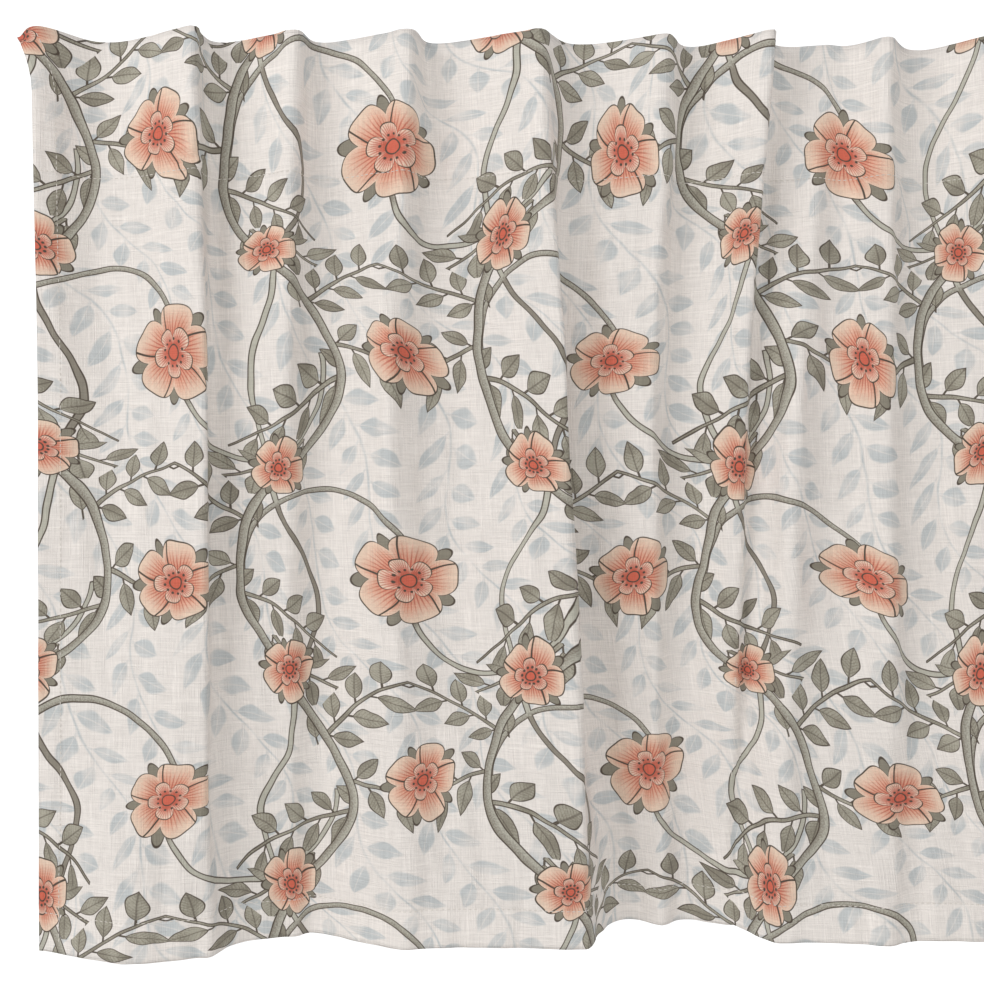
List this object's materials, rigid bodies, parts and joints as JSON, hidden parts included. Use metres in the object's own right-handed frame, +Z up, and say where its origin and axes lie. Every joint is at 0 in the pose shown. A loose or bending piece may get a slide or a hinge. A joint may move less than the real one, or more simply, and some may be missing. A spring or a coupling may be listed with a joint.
{
  "type": "window valance",
  "caption": "Gathered window valance of light printed cloth: a short curtain in soft uneven folds, with a turned heading, bottom hem and side hems.",
  "frame": {"origin": "middle of the top edge, halfway across the folds", "axes": "+X to the right along the top edge as seen from the room, +Y away from the room, +Z up"},
  "size_m": [1.0824, 0.0678, 0.5079],
  "materials": {
    "printed_voile": "matte slubbed weave with a printed flower and scroll pattern"
  },
  "bodies": {
    "root": {"valance_cloth": "printed_voile"}
  },
  "joints": []
}
